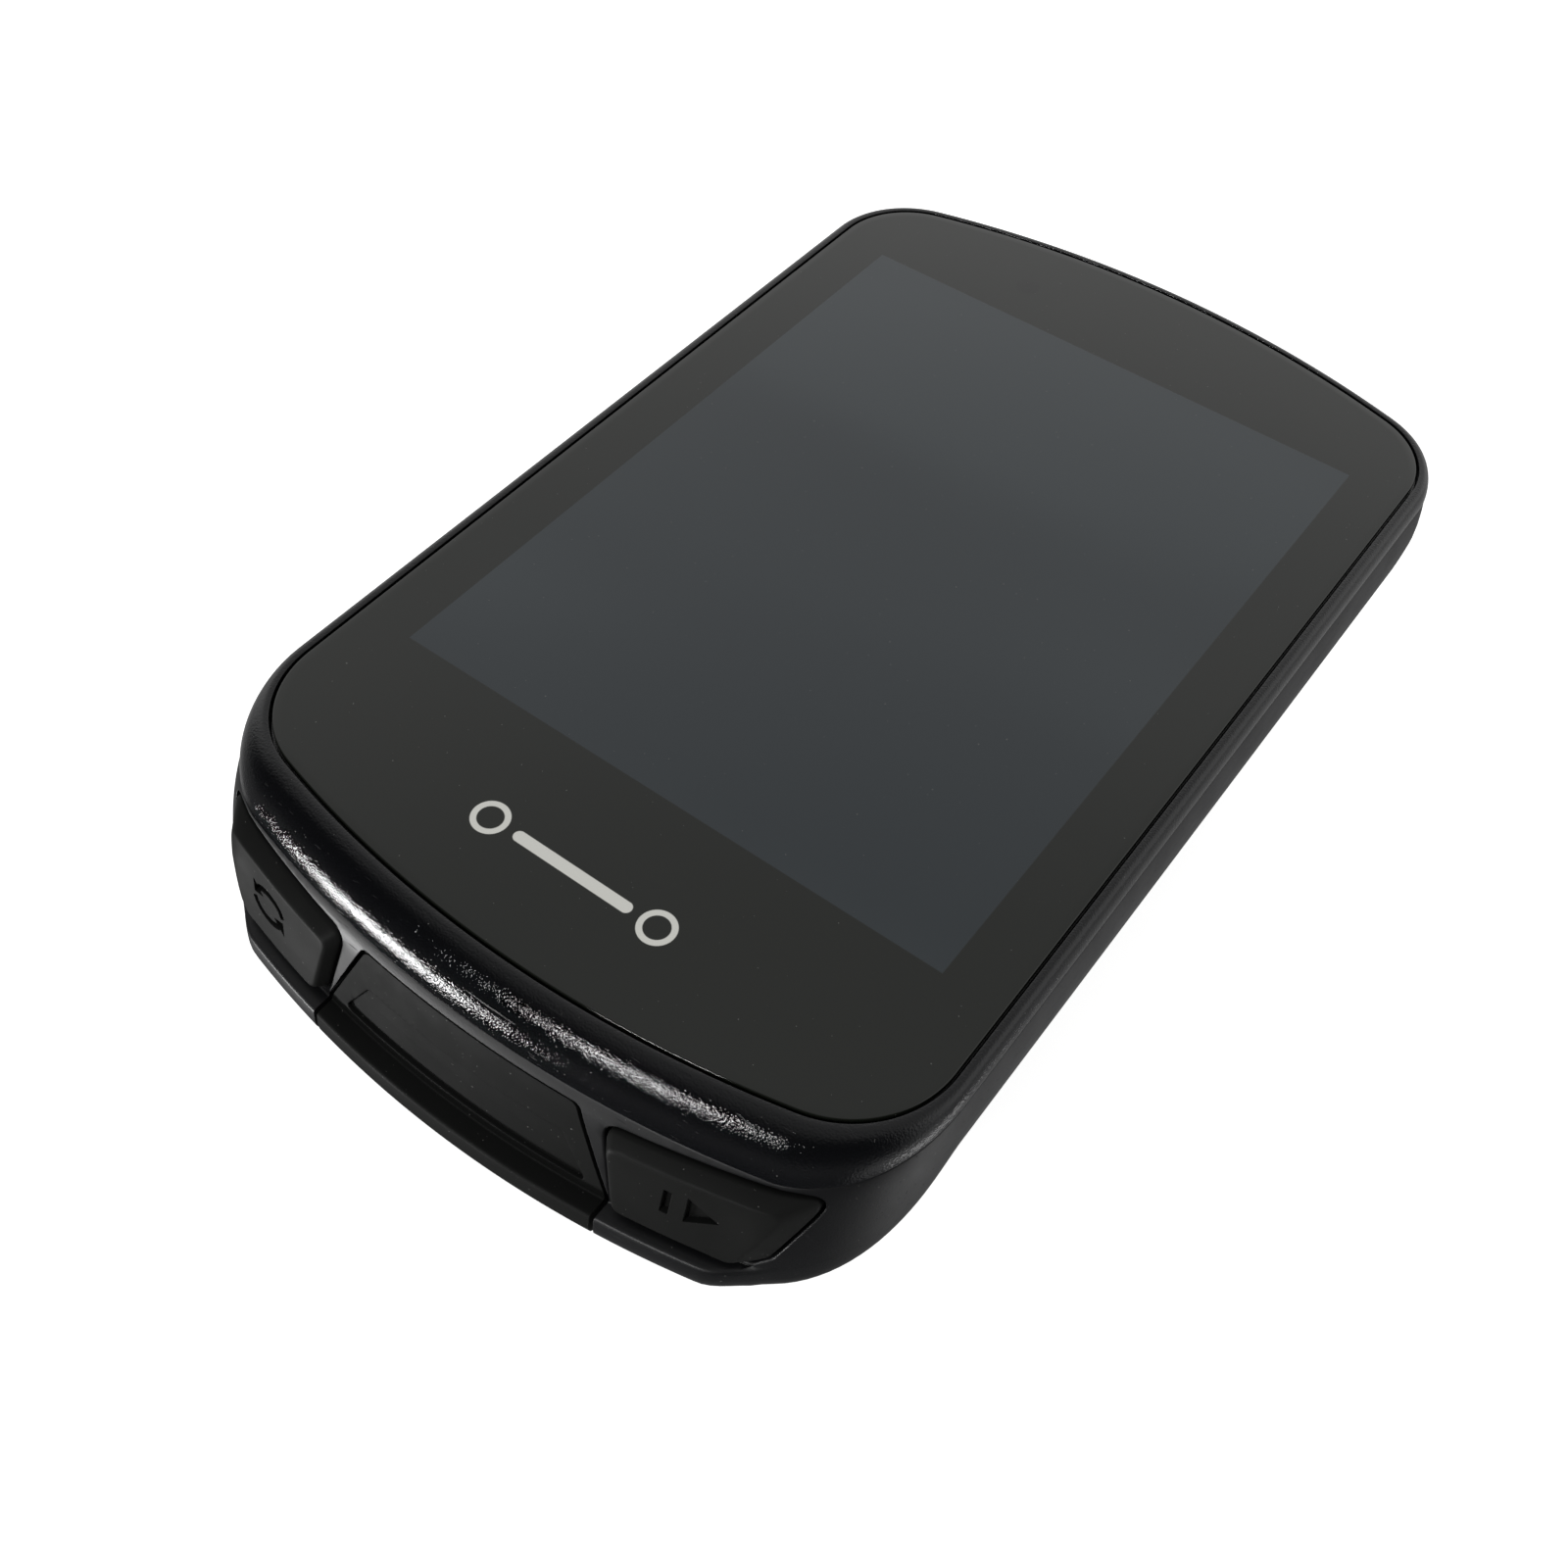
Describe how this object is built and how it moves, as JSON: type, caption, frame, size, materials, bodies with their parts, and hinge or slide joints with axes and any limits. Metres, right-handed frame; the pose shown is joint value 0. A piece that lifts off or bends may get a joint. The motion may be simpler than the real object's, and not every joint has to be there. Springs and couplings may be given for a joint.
{
  "type": "cycling computer",
  "caption": "Handlebar cycling computer with a flat touchscreen, push keys, a hinged charging-port flap and a quarter-turn mount.",
  "frame": {"origin": "centre of the bounding box at its lowest face, the foot of the quarter-turn mount", "axes": "+X to the right of someone reading the screen, +Y towards the top of the screen, +Z out of the screen"},
  "size_m": [0.0503, 0.0827, 0.02],
  "materials": {
    "cover_glass": "smooth, printed black border behind a clear window",
    "adhesive": "matt tape",
    "black_plastic": "moulded",
    "display": "reflective display, switched off",
    "light_guide": "milky",
    "flex_film": "amber film",
    "gloss_shell": "high gloss black with slight orange peel",
    "seal_rubber": "soft",
    "key_rubber": "smooth satin",
    "flap_rubber": "smooth satin",
    "circuit_board": "solder mask",
    "bright_metal": "tinned sheet",
    "ceramic": "fired",
    "switch_body": "moulded",
    "battery_wrap": "foil pouch",
    "mount_plastic": "glass-filled, fine grain",
    "screw_steel": "black oxide"
  },
  "bodies": {
    "computer_body": {"cover_glass": "cover_glass", "glass_adhesive": "adhesive", "light_sensor": "black_plastic", "display_panel": "display", "backlight": "light_guide", "display_frame": "black_plastic", "display_flex": "flex_film", "front_housing": "gloss_shell", "case_seal": "seal_rubber", "rear_cover": "gloss_shell", "main_board": "circuit_board", "shield_can": "bright_metal", "gps_antenna": "ceramic", "usb_receptacle": "bright_metal", "lap_switch": "switch_body", "start_stop_switch": "switch_body", "power_switch": "switch_body", "pressure_sensor": "bright_metal", "beeper": "black_plastic", "battery": "battery_wrap", "mount_insert": "mount_plastic", "mount_screw_1": "screw_steel", "case_screw_1": "screw_steel", "mount_screw_2": "screw_steel", "case_screw_2": "screw_steel", "mount_screw_3": "screw_steel", "case_screw_3": "screw_steel", "mount_screw_4": "screw_steel", "case_screw_4": "screw_steel"},
    "lap_button": {"lap_button": "key_rubber"},
    "start_stop_button": {"start_stop_button": "key_rubber"},
    "power_button": {"power_button": "key_rubber"},
    "usb_flap": {"usb_flap": "flap_rubber"}
  },
  "joints": [
    {"name": "lap_button_press", "type": "slide", "parent": "computer_body", "child": "lap_button", "axis": [0, 1, 0], "range_m": [0, 0.0004], "stiffness_N_per_m": 4000},
    {"name": "start_stop_button_press", "type": "slide", "parent": "computer_body", "child": "start_stop_button", "axis": [0, 1, 0], "range_m": [0, 0.0004], "stiffness_N_per_m": 4000},
    {"name": "power_button_press", "type": "slide", "parent": "computer_body", "child": "power_button", "axis": [1, 0, 0], "range_m": [0, 0.0004], "stiffness_N_per_m": 4000},
    {"name": "usb_flap_hinge", "type": "hinge", "parent": "computer_body", "child": "usb_flap", "pos_m": [0, -0.0365, 0.00615], "axis": [1, 0, 0], "range_deg": [0, 120]}
  ]
}
